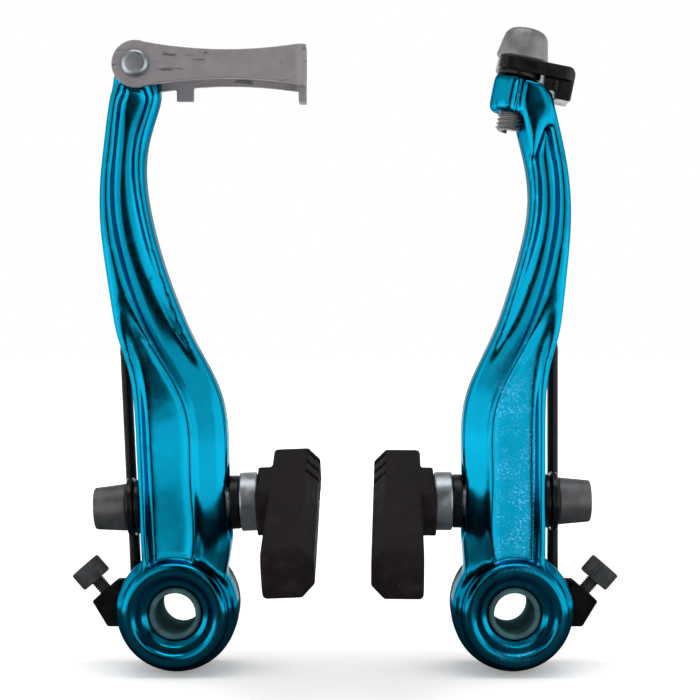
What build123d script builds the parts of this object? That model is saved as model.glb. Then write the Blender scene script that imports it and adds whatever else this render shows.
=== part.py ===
"""Linear-pull bicycle brake: two forged arms with pads, springs, cable link and cable anchor."""

from build123d import *

import os
from collections import namedtuple
from math import atan2, cos, pi, radians, sin

# Sizes are in millimetres and angles in degrees.
# The front of the brake looks towards -Y. A height is measured forwards from the mounting plane at Y = 0,
# and a level is measured upwards from the pivots.
# Every piece is drawn for the right arm, with the pivot on the Y axis and +X pointing away from the wheel.

# Arms
pivot_spacing = 66.2
left_lean = 2.7
left_widening = 1.5
widening_foot = 6.0
widening_full = 14.0
widening_fade = 78.0
widening_end = 92.0
outer_border = 1.5
ridge_border = 0.8
wall_run = 0.55
rib_crown = 0.45

# Boss round the pivot
boss_radius = 12.0
boss_back = 6.3
shoulder_height = 15.0
lip_radius = 10.4
lip_foot_height = 17.0
lip_height = 21.0
bowl_radius = 7.9
bowl_floor_radius = 6.4
bowl_floor_height = 18.2
lip_round = 1.0

# Pivot bush
bush_bore = 8.0
bush_diameter = 10.0
bush_proud = 0.3
bush_chamfer = 0.35
bush_clearance = 0.04

# Pad post and the hardware on it
post_diameter = 6.0
post_height = 12.2
post_level = 21.5
left_post_drop = 0.8
post_clearance = 0.25
thread_clearance = 0.03
slot_length = 14.0
seat_margin = 0.5
inner_convex_thickness = 2.0
inner_cup_thickness = 3.5
outer_convex_thickness = 1.3
outer_cup_thickness = 1.4
convex_diameter = 10.6
washer_diameter = 11.6
washer_gap = 0.05
washer_round = 0.4
dome_edge_radius = 4.7
dome_rise = 1.0
nut_length = 6.6
nut_inner_diameter = 9.4
nut_outer_diameter = 8.2
nut_round = 0.5
socket_size = 5.0
socket_depth = 3.0
post_end_round = 0.4
post_end_room = 0.3

# Brake pad
pad_near_length = 37.5
pad_far_length = 18.5
pad_width = 9.6
pad_thickness = 9.5
pad_tilt = 17.0
left_pad_toe = 1.2
right_pad_toe = -1.4
pad_end_round = 3.0
pad_chamfer = 2.4
pad_edge_round = 0.8
pad_base_length = 21.0
pad_base_width = 9.0
pad_base_thickness = 2.6
pad_grip_depth = 5.0
groove_width = 1.5
groove_depth = 2.6
groove_pitch = 5.2
groove_count = 3
groove_first = 3.5

# Return spring
wire_diameter = 2.2
coil_radius = 8.9
coil_pitch = 2.05
coil_turns = 1.25
foot_height = 2.25
foot_bend_radius = 1.6
foot_reach = 4.5
leg_bend_level = 53.0
leg_end_level = 61.0
leg_end_inset = 5.0
leg_bend_radius = 6.0
leg_lead = 8.0
leg_lead_radius = 60.0
peg_diameter = 3.0
peg_gap = 0.1
peg_length = 5.0

# Spring holder and tension screw
holder_radius = 11.7
holder_base = 1.1
holder_height = 6.1
coil_clearance = 0.25
leg_slot_clearance = 0.3
foot_hole_clearance = 0.6
lug_back = 0.8
lug_front = 5.8
lug_half_width = 3.2
lug_root = 9.5
lug_tip = (14.9, -4.5)
screw_angle = 49.0
screw_entry = (15.6, 2.7)
screw_height = 3.3
screw_shank_diameter = 2.9
screw_depth = 4.6
screw_standout = 2.6
screw_head_diameter = 6.1
screw_head_length = 3.3
screw_head_round = 0.5
screw_slot_width = 1.0
screw_slot_depth = 1.3

# Cable link on the left arm
link_pin = (2.4, 107.0)
link_length = 33.0
link_rest_angle = 2.7
link_sheet = 1.5
link_front = 21.0
link_gap = 9.0
link_end_radius = 4.6
link_waist = 5.6
link_end_width = 8.3
link_bend_radius = 2.6
link_tongue_drop = 2.7
link_tongue_width = 5.0
link_tab_start = 7.0
link_tab_length = 3.4
link_tab_drop = 1.6
link_hole_diameter = 4.6
link_keyhole_diameter = 5.0
link_keyhole_slot = 2.2
link_side_gap = 0.3
link_ear_radius = 4.2
ear_overlap = 1.0
ear_inset = 0.9
pin_diameter = 4.4
pin_head_diameter = 5.4
pin_head_height = 1.3
pin_rivet_height = 0.9
pin_clearance = 0.03
pin_round = 1.0

# Cable anchor on the right arm
anchor_seat = (1.05, 105.0)
anchor_height = 14.6
anchor_tilt = 11.5
anchor_block_radius = 4.6
anchor_block_length = 7.6
anchor_block_round = 1.2
web_corners = [(0.6, 104.3), (5.6, 103.3), (7.4, 98.8), (3.5, 87.6), (1.5, 96.8)]
web_front = 19.7
web_round = 0.35
groove_x = 0.75
groove_top = 105.0
groove_bottom = 97.6
block_groove_width = 0.9
block_groove_depth = 1.6
anchor_bolt_diameter = 5.0
anchor_bolt_reach = 11.0
anchor_head_diameter = 10.2
anchor_head_height = 6.3
anchor_head_top_radius = 4.3
anchor_head_round = 2.4
thin_washer_thickness = 0.6
thin_washer_diameter = 8.6
clamp_thickness = 2.7
clamp_inner_reach = 4.5
clamp_outer_reach = 10.6
clamp_half_depth = 5.0
clamp_hook_thickness = 3.2
clamp_hook_drop = 3.2
clamp_hook_half_depth = 4.0
clamp_round = 1.0
bolt_clearance = 0.15

# Stations of the forging, from the pivot upwards: where its edges stand on each level.
# outer and inner are the sides, ridge is the crest between pocket and channel, rib is the channel's far wall.
# dish_out and dish_in are the depths of the pocket at its outer side and at the ridge.
station_fields = "level outer ridge rib inner front floor_out floor_in rib_top back dish_out dish_in"
Station = namedtuple("Station", station_fields, defaults=(0.0, 0.0))
common_stations = [
    Station(6.0, 6.1, -4.8, -8.7, -9.9, 19.0, 18.0, 16.5, 16.0, 6.3, 1.9, 0.6),
    Station(14.0, 6.1, -4.8, -8.7, -9.9, 19.0, 18.0, 16.5, 16.0, 6.3, 1.9, 0.6),
    Station(22.0, 6.1, -4.8, -8.7, -9.9, 19.0, 18.0, 16.5, 16.0, 6.3, 1.9, 0.6),
    Station(30.0, 6.1, -4.8, -8.7, -9.9, 19.0, 18.0, 16.5, 16.0, 6.3, 1.9, 0.6),
    Station(38.0, 6.1, -4.6, -8.6, -9.8, 19.0, 17.9, 16.4, 15.9, 6.3, 1.8, 0.6),
    Station(46.0, 6.6, -1.9, -6.4, -7.7, 19.1, 17.7, 16.2, 16.1, 6.7, 1.1, 0.7),
    Station(54.0, 8.6, 2.3, -2.5, -3.9, 19.4, 17.3, 16.3, 17.0, 7.5, 0.5, 0.6),
    Station(62.0, 9.75, 5.4, 0.4, -1.0, 19.6, 17.1, 16.6, 18.0, 8.3, 0.3, 0.4),
    Station(70.0, 10.55, 7.45, 2.8, 1.3, 19.8, 17.1, 16.9, 18.7, 9.0, 0.1, 0.1),
    Station(78.0, 11.0, 8.6, 4.4, 2.9, 19.8, 17.15, 17.05, 19.0, 9.7),
    Station(86.0, 10.5, 8.4, 4.3, 2.7, 19.6, 17.2, 17.1, 19.0, 10.2),
]
left_top_stations = [
    Station(94.0, 9.3, 7.3, 2.5, 0.7, 19.3, 17.2, 17.1, 19.0, 10.9),
    Station(102.0, 7.75, 5.75, 0.1, -1.8, 19.1, 17.2, 17.1, 18.9, 11.2),
]
right_top_stations = [
    Station(94.0, 9.0, 7.0, 3.0, 0.9, 19.4, 16.9, 16.6, 17.4, 10.5),
    Station(102.0, 7.2, 5.3, 1.6, -0.9, 19.0, 16.6, 16.0, 16.4, 10.8),
]
SideSetting = namedtuple("SideSetting", "lean widening drop toe")
side_settings = {
    "left": SideSetting(left_lean, left_widening, left_post_drop, left_pad_toe),
    "right": SideSetting(0.0, 0.0, 0.0, right_pad_toe),
}
corner_rounds = [1.4, 0.9, 0.4, 0.4, 0.4, 0.45, 0.45, 1.4]
boss_rounds = [0, 0.8, 1.5, 1.2, 1.2, 0]
pocket_stations = common_stations[:9]

inner_flank = common_stations[1].inner
outer_flank = common_stations[1].outer
inner_stack = inner_flank - inner_convex_thickness - inner_cup_thickness
nut_start = outer_flank + outer_convex_thickness + outer_cup_thickness
pad_back = inner_stack - pad_base_thickness
leg_height = foot_height + coil_pitch * (coil_turns + leg_lead / (2 * pi * coil_radius))
link_depth = link_gap + 2 * link_sheet
lug_front_height = link_front - link_sheet - link_side_gap
lug_back_height = link_front - link_sheet - link_gap + link_side_gap

post_plane = Plane(origin=(0, -post_height, post_level), x_dir=(1, 0, 0), z_dir=(0, -1, 0))
post_axis = Axis(post_plane.origin, (1, 0, 0))
screw_plane = Plane(
    origin=(screw_entry[0], -screw_height, screw_entry[1]),
    x_dir=(cos(radians(screw_angle)), 0, sin(radians(screw_angle))),
    z_dir=(0, -1, 0),
)
link_plane = Plane(
    origin=(link_pin[0], -link_front, link_pin[1]),
    x_dir=(-cos(radians(link_rest_angle)), 0, -sin(radians(link_rest_angle))),
    z_dir=(0, -1, 0),
)
anchor_plane = Plane(
    origin=(anchor_seat[0], -anchor_height, anchor_seat[1]),
    x_dir=(cos(radians(anchor_tilt)), 0, -sin(radians(anchor_tilt))),
    z_dir=(sin(radians(anchor_tilt)), 0, cos(radians(anchor_tilt))),
)
anchor_side_plane = Plane(origin=anchor_plane.origin, x_dir=anchor_plane.x_dir, z_dir=(0, -1, 0))


def pad_plane(toe):
    """The pad's back: X runs along the pad to its near end, and Z towards the rim."""
    return Plane(
        origin=(pad_back, -post_height, post_level),
        x_dir=(
            sin(radians(toe)),
            -cos(radians(toe)) * cos(radians(pad_tilt)),
            -cos(radians(toe)) * sin(radians(pad_tilt)),
        ),
        z_dir=(
            -cos(radians(toe)),
            -sin(radians(toe)) * cos(radians(pad_tilt)),
            -sin(radians(toe)) * sin(radians(pad_tilt)),
        ),
    )


def front_plane(height):
    """The plane that faces the front at a height, with X to the right and Z upwards."""
    return Plane.XZ.offset(height)


def widened(station, widening):
    """A station whose channel and inner side stand further in, less so towards the arm's two ends."""
    rise = (station.level - widening_foot) / (widening_full - widening_foot)
    fall = (widening_end - station.level) / (widening_end - widening_fade)
    extra = widening * min(max(rise, 0), max(fall, 0), 1)
    return station._replace(rib=station.rib - extra, inner=station.inner - extra)


def station_outline(station):
    """Corners of the forging on one level, from the outer back corner round the front."""
    return [
        (station.outer, -station.back),
        (station.outer, -station.front),
        (station.ridge, -station.front),
        (station.ridge - wall_run, -station.floor_out),
        (station.rib + wall_run, -station.floor_in),
        (station.rib, -station.rib_top),
        (station.inner, -station.rib_top + rib_crown),
        (station.inner, -station.back),
    ]


def pocket_outline(station):
    """Corners of the dished pocket on one level, left open at the front. Its floor slopes down outwards."""
    outer = station.outer - outer_border
    inner = station.ridge + ridge_border
    run = min(wall_run, (outer - inner) / 3)
    return [
        (outer + run, -station.front - station.dish_out),
        (outer - run, -station.front + station.dish_out),
        (inner + run, -station.front + station.dish_in),
        (inner - run, -station.front - station.dish_in),
    ]


def arm_body(top_stations, setting):
    """What both forgings share: lofted arm, pocket, boss, pad slot, washer seats and spring peg."""
    level = post_level - setting.drop
    with BuildPart() as body:
        for station in common_stations + top_stations:
            outline = station_outline(widened(station, setting.widening))
            with BuildSketch(Plane.XY.offset(station.level)):
                with BuildLine():
                    FilletPolyline(*outline, radius=corner_rounds, close=True)
                make_face()
        loft()
        for station in pocket_stations:
            with BuildSketch(Plane.XY.offset(station.level)):
                with BuildLine():
                    Polyline(*pocket_outline(station), close=True)
                make_face()
        loft(mode=Mode.SUBTRACT)
        with BuildSketch(Plane.XY):
            with BuildLine():
                FilletPolyline(
                    (0, -boss_back),
                    (boss_radius, -boss_back),
                    (boss_radius, -shoulder_height),
                    (lip_radius, -lip_foot_height),
                    (lip_radius, -lip_height),
                    (0, -lip_height),
                    radius=boss_rounds,
                    close=True,
                )
            make_face()
        revolve(axis=Axis.Y)
        with BuildSketch(Plane.XY):
            with BuildLine():
                Polyline(
                    (0, -bowl_floor_height),
                    (bowl_floor_radius, -bowl_floor_height),
                    (bowl_radius, -lip_height),
                    (0, -lip_height),
                    close=True,
                )
            make_face()
        revolve(axis=Axis.Y, mode=Mode.SUBTRACT)
        rings = body.edges().filter_by(GeomType.CIRCLE)
        fillet(rings.sort_by_distance((bowl_radius, -lip_height, 0))[0], lip_round)
        with BuildSketch(front_plane(0)):
            Circle(bush_diameter / 2 + bush_clearance)
        extrude(amount=lip_height, mode=Mode.SUBTRACT)
        with BuildSketch(Plane(origin=(0, -post_height, level), x_dir=(0, 0, 1), z_dir=(1, 0, 0))):
            SlotOverall(slot_length, post_diameter + 2 * post_clearance)
        extrude(amount=boss_radius, both=True, mode=Mode.SUBTRACT)
        for flank, away in ((inner_flank - setting.widening, -1), (outer_flank, 1)):
            with BuildSketch(Plane(origin=(flank, -post_height, level), z_dir=(away, 0, 0))):
                Circle(convex_diameter / 2 + seat_margin)
            extrude(amount=seat_margin, mode=Mode.SUBTRACT)
        with BuildSketch(front_plane(leg_height - wire_diameter / 2)):
            with Locations(peg_place()):
                Circle(peg_diameter / 2)
        extrude(amount=peg_length)
    return body.part


def peg_place():
    """Where the spring leg bears on the arm's peg: beside the bent end of the leg, on its outer side."""
    slope = atan2(leg_end_inset, leg_end_level - leg_bend_level)
    middle = (leg_bend_level + leg_end_level) / 2
    along = (middle - leg_bend_level) / (leg_end_level - leg_bend_level)
    offset = (wire_diameter + peg_diameter) / 2 + peg_gap
    return (coil_radius - leg_end_inset * along + offset * cos(slope), middle + offset * sin(slope))


def left_forging():
    """Left arm: the forging with the ear that carries the cable link."""
    top = left_top_stations[-1]
    with BuildPart() as forging:
        add(arm_body(left_top_stations, side_settings["left"]))
        with BuildSketch(front_plane(lug_back_height)):
            with Locations(link_pin):
                Circle(link_ear_radius)
            with Locations(((top.outer + top.inner) / 2, top.level - ear_overlap)):
                Circle((top.outer - top.inner) / 2 - ear_inset)
            make_hull()
        extrude(amount=top.floor_in - lug_back_height)
        with BuildSketch(front_plane(lug_back_height)):
            with Locations(link_pin):
                Circle(link_ear_radius)
        extrude(amount=lug_front_height - lug_back_height)
        with BuildSketch(front_plane(0)):
            with Locations(link_pin):
                Circle(pin_diameter / 2 + pin_clearance)
        extrude(amount=link_front, mode=Mode.SUBTRACT)
    return forging.part


def right_forging():
    """Right arm: the forging with the round block for the cable anchor bolt and the web that backs it."""
    with BuildPart() as forging:
        add(arm_body(right_top_stations, side_settings["right"]))
        with BuildSketch(anchor_side_plane):
            with BuildLine():
                FilletPolyline(
                    (0, 0),
                    (anchor_block_radius, 0),
                    (anchor_block_radius, -anchor_block_length),
                    (0, -anchor_block_length),
                    radius=[0, anchor_block_round / 2, anchor_block_round, 0],
                    close=True,
                )
            make_face()
        revolve(axis=Axis(anchor_plane.origin, anchor_plane.z_dir))
        with BuildSketch(front_plane(anchor_height)):
            with BuildLine():
                FilletPolyline(*web_corners, radius=web_round, close=True)
            make_face()
        extrude(amount=web_front - anchor_height)
        with BuildSketch(front_plane(web_front - block_groove_depth)):
            with Locations((groove_x, (groove_top + groove_bottom) / 2)):
                SlotOverall(groove_top - groove_bottom, block_groove_width, rotation=90 - anchor_tilt)
        extrude(amount=web_front, mode=Mode.SUBTRACT)
        with BuildSketch(anchor_plane):
            Circle(anchor_bolt_diameter / 2 + thread_clearance)
        extrude(amount=anchor_bolt_reach + clamp_thickness, both=True, mode=Mode.SUBTRACT)
    return forging.part


def pivot_bush():
    """Steel sleeve that is clamped on the frame boss."""
    with BuildPart() as bush:
        with BuildSketch(front_plane(0)):
            Circle(bush_diameter / 2)
            Circle(bush_bore / 2, mode=Mode.SUBTRACT)
        extrude(amount=bowl_floor_height + bush_proud)
        chamfer(bush.edges().filter_by(GeomType.CIRCLE), bush_chamfer)
    return bush.part


def return_spring():
    """One wire: foot into the frame, a coil round the bush and a leg up to the peg."""
    coil = Helix(coil_pitch, coil_pitch * coil_turns, coil_radius)
    coil = Pos(0, 0, foot_height) * Rot(0, 0, -360 * coil_turns) * coil
    foot_corner = coil @ 0 - coil % 0 * (foot_bend_radius * 2)
    with BuildPart() as spring:
        with BuildLine() as wire:
            FilletPolyline(
                (foot_corner.X, foot_corner.Y, -foot_reach),
                foot_corner,
                coil @ 0,
                radius=[foot_bend_radius],
            )
            add(coil)
            FilletPolyline(
                coil @ 1,
                (coil_radius, leg_lead, leg_height),
                (coil_radius, leg_bend_level, leg_height),
                (coil_radius - leg_end_inset, leg_end_level, leg_height),
                radius=[leg_lead_radius, leg_bend_radius],
            )
        with BuildSketch(Plane(wire.wire() @ 0, z_dir=(0, 0, 1))):
            Circle(wire_diameter / 2)
        sweep(path=wire.wire())
    return Plane.XZ.location * spring.part


def spring_holder():
    """Moulded cup that holds the coil, with the lug for the tension screw."""
    outward = Vector(cos(radians(screw_angle)), sin(radians(screw_angle)))
    across = Vector(outward.Y, -outward.X) * lug_half_width
    entry = Vector(*screw_entry)
    slot_half = wire_diameter / 2 + leg_slot_clearance
    with BuildPart() as holder:
        with BuildSketch(front_plane(0)):
            Circle(holder_radius)
        extrude(amount=holder_height)
        with BuildSketch(front_plane(lug_back)):
            with BuildLine():
                Polyline(
                    (lug_root, (entry - across).Y),
                    entry - across,
                    entry + across,
                    lug_tip,
                    (lug_root, lug_tip[1]),
                    close=True,
                )
            make_face()
        extrude(amount=lug_front - lug_back)
        with BuildSketch(front_plane(holder_base)):
            Circle(coil_radius + wire_diameter / 2 + coil_clearance)
            Circle(coil_radius - wire_diameter / 2 - coil_clearance, mode=Mode.SUBTRACT)
        extrude(amount=holder_height, mode=Mode.SUBTRACT)
        with BuildSketch(front_plane(leg_height - slot_half)):
            with Locations((coil_radius, holder_radius / 2)):
                Rectangle(2 * slot_half, holder_radius)
        extrude(amount=holder_height, mode=Mode.SUBTRACT)
        with BuildSketch(front_plane(0)):
            Circle(bush_diameter / 2 + bush_clearance)
            with Locations((-2 * foot_bend_radius, -coil_radius)):
                Circle(wire_diameter / 2 + foot_hole_clearance)
        extrude(amount=holder_height, mode=Mode.SUBTRACT)
        with BuildSketch(Plane(origin=screw_plane.origin, z_dir=screw_plane.x_dir)):
            Circle(screw_shank_diameter / 2 + thread_clearance)
        extrude(amount=screw_depth, both=True, mode=Mode.SUBTRACT)
    return holder.part


def tension_screw():
    """Knurled cap screw in the holder's lug, with a slot for a blade."""
    head_end = screw_standout + screw_head_length
    with BuildPart() as screw:
        with BuildSketch(screw_plane):
            with BuildLine():
                FilletPolyline(
                    (-screw_depth, 0),
                    (-screw_depth, screw_shank_diameter / 2),
                    (screw_standout, screw_shank_diameter / 2),
                    (screw_standout, screw_head_diameter / 2),
                    (head_end, screw_head_diameter / 2),
                    (head_end, 0),
                    radius=[0, screw_head_round / 2, 0, screw_head_round, screw_head_round, 0],
                    close=True,
                )
            make_face()
        revolve(axis=Axis(screw_plane.origin, screw_plane.x_dir))
        with BuildSketch(Plane(origin=screw_plane.origin, z_dir=screw_plane.x_dir).offset(head_end)):
            Rectangle(2 * screw_head_diameter, screw_slot_width)
        extrude(amount=-screw_slot_depth, mode=Mode.SUBTRACT)
    return screw.part


def turned_on_post(outline, rounds):
    """A ring on the pad post. The outline's corners are given as distance along the post and radius."""
    with BuildPart() as ring:
        with BuildSketch(post_plane):
            with BuildLine():
                FilletPolyline(*outline, radius=rounds, close=True)
            make_face()
        revolve(axis=post_axis)
    return ring.part


def convex_washer(start, away, thickness):
    """Washer that is flat against the arm and domed on its other face."""
    bore = post_diameter / 2 + post_clearance
    rim = start + away * thickness
    outline = [
        (start, bore),
        (start, convex_diameter / 2),
        (rim, convex_diameter / 2),
        (rim, dome_edge_radius),
        (rim + away * dome_rise, bore),
    ]
    return turned_on_post(outline, [0, washer_round, washer_round, 0, 0])


def cup_washer(start, away, thickness):
    """Washer with the hollow seat that fits over a convex washer's dome."""
    bore = post_diameter / 2 + post_clearance
    face = start + away * washer_gap
    end = start + away * thickness
    outline = [
        (face + away * dome_rise, bore),
        (face, dome_edge_radius),
        (face, washer_diameter / 2),
        (end, washer_diameter / 2),
        (end, bore),
    ]
    return turned_on_post(outline, [0, 0, washer_round, washer_round, 0])


def cap_nut():
    """Tapered nut with a hexagon socket in its outer end."""
    end = nut_start + nut_length
    bore = post_diameter / 2 + thread_clearance
    outline = [(nut_start, 0), (nut_start, nut_inner_diameter / 2), (end, nut_outer_diameter / 2), (end, 0)]
    with BuildPart() as nut:
        add(turned_on_post(outline, [0, nut_round, nut_round, 0]))
        with BuildSketch(Plane(origin=post_plane.origin, z_dir=(1, 0, 0)).offset(nut_start)):
            Circle(bore)
        extrude(amount=nut_length - socket_depth, mode=Mode.SUBTRACT)
        with BuildSketch(Plane(origin=post_plane.origin, z_dir=(1, 0, 0)).offset(end)):
            RegularPolygon(socket_size / 2, 6, major_radius=False)
        extrude(amount=-socket_depth, mode=Mode.SUBTRACT)
    return nut.part


def pad_post(widening):
    """Threaded stud that is moulded into the pad, longer for an arm that is wider inside."""
    inner_end = inner_stack - pad_grip_depth - widening
    outer_end = nut_start + nut_length - socket_depth
    outline = [(inner_end, 0), (inner_end, post_diameter / 2), (outer_end, post_diameter / 2), (outer_end, 0)]
    return turned_on_post(outline, [0, post_end_round, post_end_round, 0])


def brake_pad(toe):
    """Moulded rubber block with bevelled edges, water grooves and an oval base for the post."""
    back_plane = pad_plane(toe)
    facing = Axis(back_plane.origin, back_plane.z_dir)
    with BuildPart() as pad:
        with BuildSketch(back_plane):
            with Locations(((pad_near_length - pad_far_length) / 2, 0)):
                RectangleRounded(pad_near_length + pad_far_length, pad_width, pad_end_round)
        extrude(amount=pad_thickness)
        braking_face = pad.faces().sort_by(facing)[-1]
        chamfer(braking_face.edges(), pad_chamfer)
        fillet(pad.faces().sort_by(facing)[0].edges(), pad_edge_round)
        with BuildSketch(back_plane.offset(pad_thickness)):
            for count in range(groove_count):
                with Locations((-groove_first - count * groove_pitch, 0)):
                    Rectangle(groove_width, 2 * pad_width)
        extrude(amount=-groove_depth, mode=Mode.SUBTRACT)
        with BuildSketch(back_plane):
            SlotOverall(pad_base_length, pad_base_width)
        extrude(amount=-pad_base_thickness * 2)
        with BuildSketch(Plane(origin=post_plane.origin, z_dir=(1, 0, 0)).offset(inner_stack)):
            Rectangle(4 * pad_base_length, 4 * pad_base_length)
        extrude(amount=4 * pad_base_thickness, mode=Mode.SUBTRACT)
        with BuildSketch(Plane(origin=post_plane.origin, z_dir=(1, 0, 0)).offset(inner_stack)):
            Circle(post_diameter / 2 + thread_clearance)
        extrude(amount=-pad_grip_depth - post_end_room, mode=Mode.SUBTRACT)
    return pad.part


def cable_link():
    """Folded steel strap: two waisted plates joined by a rounded end with a keyhole for the cable pipe."""
    middle = link_length / 2
    half_end = link_end_width / 2
    half_waist = link_waist / 2
    end_plane = Plane(
        origin=link_plane.from_local_coords((link_length, 0, -link_depth / 2)),
        x_dir=link_plane.y_dir,
        z_dir=link_plane.x_dir,
    )
    top_plane = Plane(origin=link_plane.origin, x_dir=link_plane.x_dir, z_dir=link_plane.y_dir)
    with BuildPart() as link:
        with BuildSketch(link_plane):
            Circle(link_end_radius)
            with BuildLine():
                ThreePointArc((0, -link_end_radius), (middle, -half_waist), (link_length, -half_end))
                Line((link_length, -half_end), (link_length, half_end))
                ThreePointArc((link_length, half_end), (middle, half_waist), (0, link_end_radius))
                Line((0, link_end_radius), (0, -link_end_radius))
            make_face()
        extrude(amount=-link_depth)
        corners = link.edges().filter_by(Axis(link_plane.origin, link_plane.y_dir))
        fillet(corners.sort_by_distance(end_plane.origin)[0:2], link_bend_radius)
        with BuildSketch(end_plane):
            with Locations((half_end, 0)):
                Rectangle(2 * link_tongue_drop, link_tongue_width)
        extrude(amount=-link_sheet)
        with BuildSketch(top_plane):
            with Locations(((link_length - link_sheet) / 2 - link_end_radius, link_depth / 2)):
                room = link_length - link_sheet + 2 * link_end_radius
                RectangleRounded(room, link_gap, link_bend_radius - link_sheet)
        extrude(amount=link_end_width * 2, both=True, mode=Mode.SUBTRACT)
        with BuildSketch(link_plane.offset(-link_depth)):
            with Locations((link_tab_start + link_tab_length / 2, half_waist)):
                Rectangle(link_tab_length, 2 * link_tab_drop + half_waist)
        extrude(amount=link_sheet)
        with BuildSketch(link_plane):
            Circle(link_hole_diameter / 2)
        extrude(amount=-link_depth, mode=Mode.SUBTRACT)
        with BuildSketch(end_plane):
            Circle(link_keyhole_diameter / 2)
            with Locations((-half_end / 2, 0)):
                Rectangle(half_end, link_keyhole_slot)
        extrude(amount=-link_sheet, mode=Mode.SUBTRACT)
    return link.part


def pin_outline(head_radius, head_height, rivet_height):
    """Corners of the link pin from its back to its front, as radius and height."""
    back = link_front - link_depth
    return [
        (0, back - rivet_height),
        (head_radius, back - rivet_height),
        (head_radius, back),
        (pin_diameter / 2, back),
        (pin_diameter / 2, link_front),
        (head_radius, link_front),
        (head_radius, link_front + head_height),
        (0, link_front + head_height),
    ]


def link_pin_piece():
    """Pin with a domed head, riveted over behind."""
    outline = pin_outline(pin_head_diameter / 2, pin_head_height, pin_rivet_height)
    with BuildPart() as pin:
        with BuildSketch(Plane(origin=(link_pin[0], 0, link_pin[1]), x_dir=(1, 0, 0), z_dir=(0, 0, -1))):
            with BuildLine():
                FilletPolyline(*outline, radius=[0, pin_round / 2, 0, 0, 0, 0, pin_round, 0], close=True)
            make_face()
        revolve(axis=Axis((link_pin[0], 0, link_pin[1]), (0, 1, 0)))
    return pin.part


def anchor_bolt():
    """Cable anchor bolt with a domed head and a hexagon socket."""
    seat = thin_washer_thickness + clamp_thickness
    top = seat + anchor_head_height
    with BuildPart() as bolt:
        with BuildSketch(anchor_side_plane):
            with BuildLine():
                FilletPolyline(
                    (0, -anchor_bolt_reach),
                    (anchor_bolt_diameter / 2, -anchor_bolt_reach),
                    (anchor_bolt_diameter / 2, seat),
                    (anchor_head_diameter / 2, seat),
                    (anchor_head_top_radius, top),
                    (0, top),
                    radius=[0, post_end_round, 0, anchor_head_round / 4, anchor_head_round, 0],
                    close=True,
                )
            make_face()
        revolve(axis=Axis(anchor_plane.origin, anchor_plane.z_dir))
        with BuildSketch(anchor_plane.offset(top)):
            RegularPolygon(socket_size / 2, 6, major_radius=False)
        extrude(amount=-socket_depth, mode=Mode.SUBTRACT)
    return bolt.part


def thin_washer():
    """Flat washer between the anchor block and the clamp washer."""
    with BuildPart() as washer:
        with BuildSketch(anchor_plane):
            Circle(thin_washer_diameter / 2)
            Circle(anchor_bolt_diameter / 2 + bolt_clearance, mode=Mode.SUBTRACT)
        extrude(amount=thin_washer_thickness)
    return washer.part


def clamp_washer():
    """Thick washer that pinches the cable, with a hook bent down past the arm's outer edge."""
    length = clamp_inner_reach + clamp_outer_reach
    with BuildPart() as clamp:
        with BuildSketch(anchor_plane.offset(thin_washer_thickness)):
            with Locations((clamp_outer_reach - length / 2, 0)):
                RectangleRounded(length, 2 * clamp_half_depth, clamp_round * 2)
        extrude(amount=clamp_thickness)
        with BuildSketch(anchor_plane.offset(thin_washer_thickness + clamp_thickness)):
            with Locations((clamp_outer_reach - clamp_hook_thickness / 2, 0)):
                Rectangle(clamp_hook_thickness, 2 * clamp_hook_half_depth)
        extrude(amount=-clamp_thickness - thin_washer_thickness - clamp_hook_drop)
        knee = anchor_plane.from_local_coords((clamp_outer_reach, 0, thin_washer_thickness + clamp_thickness))
        bend = clamp.edges().filter_by(Axis.Y).sort_by_distance(knee)[0]
        fillet(bend, clamp_thickness / 2)
        with BuildSketch(anchor_plane):
            Circle(anchor_bolt_diameter / 2 + bolt_clearance)
        extrude(amount=thin_washer_thickness + clamp_thickness, mode=Mode.SUBTRACT)
    return clamp.part


def pad_hardware(setting):
    """A side's pad with its post, washers and nut, at their place on that arm's slot."""
    inside = Pos(-setting.widening, 0, -setting.drop)
    outside = Pos(0, 0, -setting.drop)
    inner_cup_start = inner_flank - inner_convex_thickness
    outer_cup_start = outer_flank + outer_convex_thickness
    return {
        "brake_pad": inside * brake_pad(setting.toe),
        "pad_post": outside * pad_post(setting.widening),
        "inner_convex_washer": inside * convex_washer(inner_flank, -1, inner_convex_thickness),
        "inner_cup_washer": inside * cup_washer(inner_cup_start, -1, inner_cup_thickness),
        "outer_convex_washer": outside * convex_washer(outer_flank, 1, outer_convex_thickness),
        "outer_cup_washer": outside * cup_washer(outer_cup_start, 1, outer_cup_thickness),
        "cap_nut": outside * cap_nut(),
    }


def stand(piece, side, lean=0.0):
    """Set a piece that was drawn for the right arm on its own side, leaning outwards about the pivot."""
    if side == "right":
        return Pos(pivot_spacing / 2, 0, 0) * Rot(0, lean, 0) * piece
    return Pos(-pivot_spacing / 2, 0, 0) * Rot(0, -lean, 0) * mirror(piece, about=Plane.YZ)


def write(piece, name):
    """Label a finished piece and write it to its own file."""
    piece.label = name
    export_step(piece, f"parts/{name}.step")


still_pieces = {
    "pivot_bush": pivot_bush(),
    "spring_holder": spring_holder(),
    "tension_screw": tension_screw(),
}
one_sided_pieces = {
    "left": {"arm": left_forging(), "cable_link": cable_link(), "link_pin": link_pin_piece()},
    "right": {
        "arm": right_forging(),
        "anchor_bolt": anchor_bolt(),
        "thin_washer": thin_washer(),
        "clamp_washer": clamp_washer(),
    },
}
os.makedirs("parts", exist_ok=True)
for side, setting in side_settings.items():
    for name, piece in still_pieces.items():
        write(stand(piece, side), f"{side}_{name}")
    for name, piece in {"spring": return_spring(), **pad_hardware(setting)}.items():
        write(stand(piece, side, setting.lean), f"{side}_{name}")
    for name, piece in one_sided_pieces[side].items():
        write(stand(piece, side, setting.lean), f"{side}_{name}" if name == "arm" else name)
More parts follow.
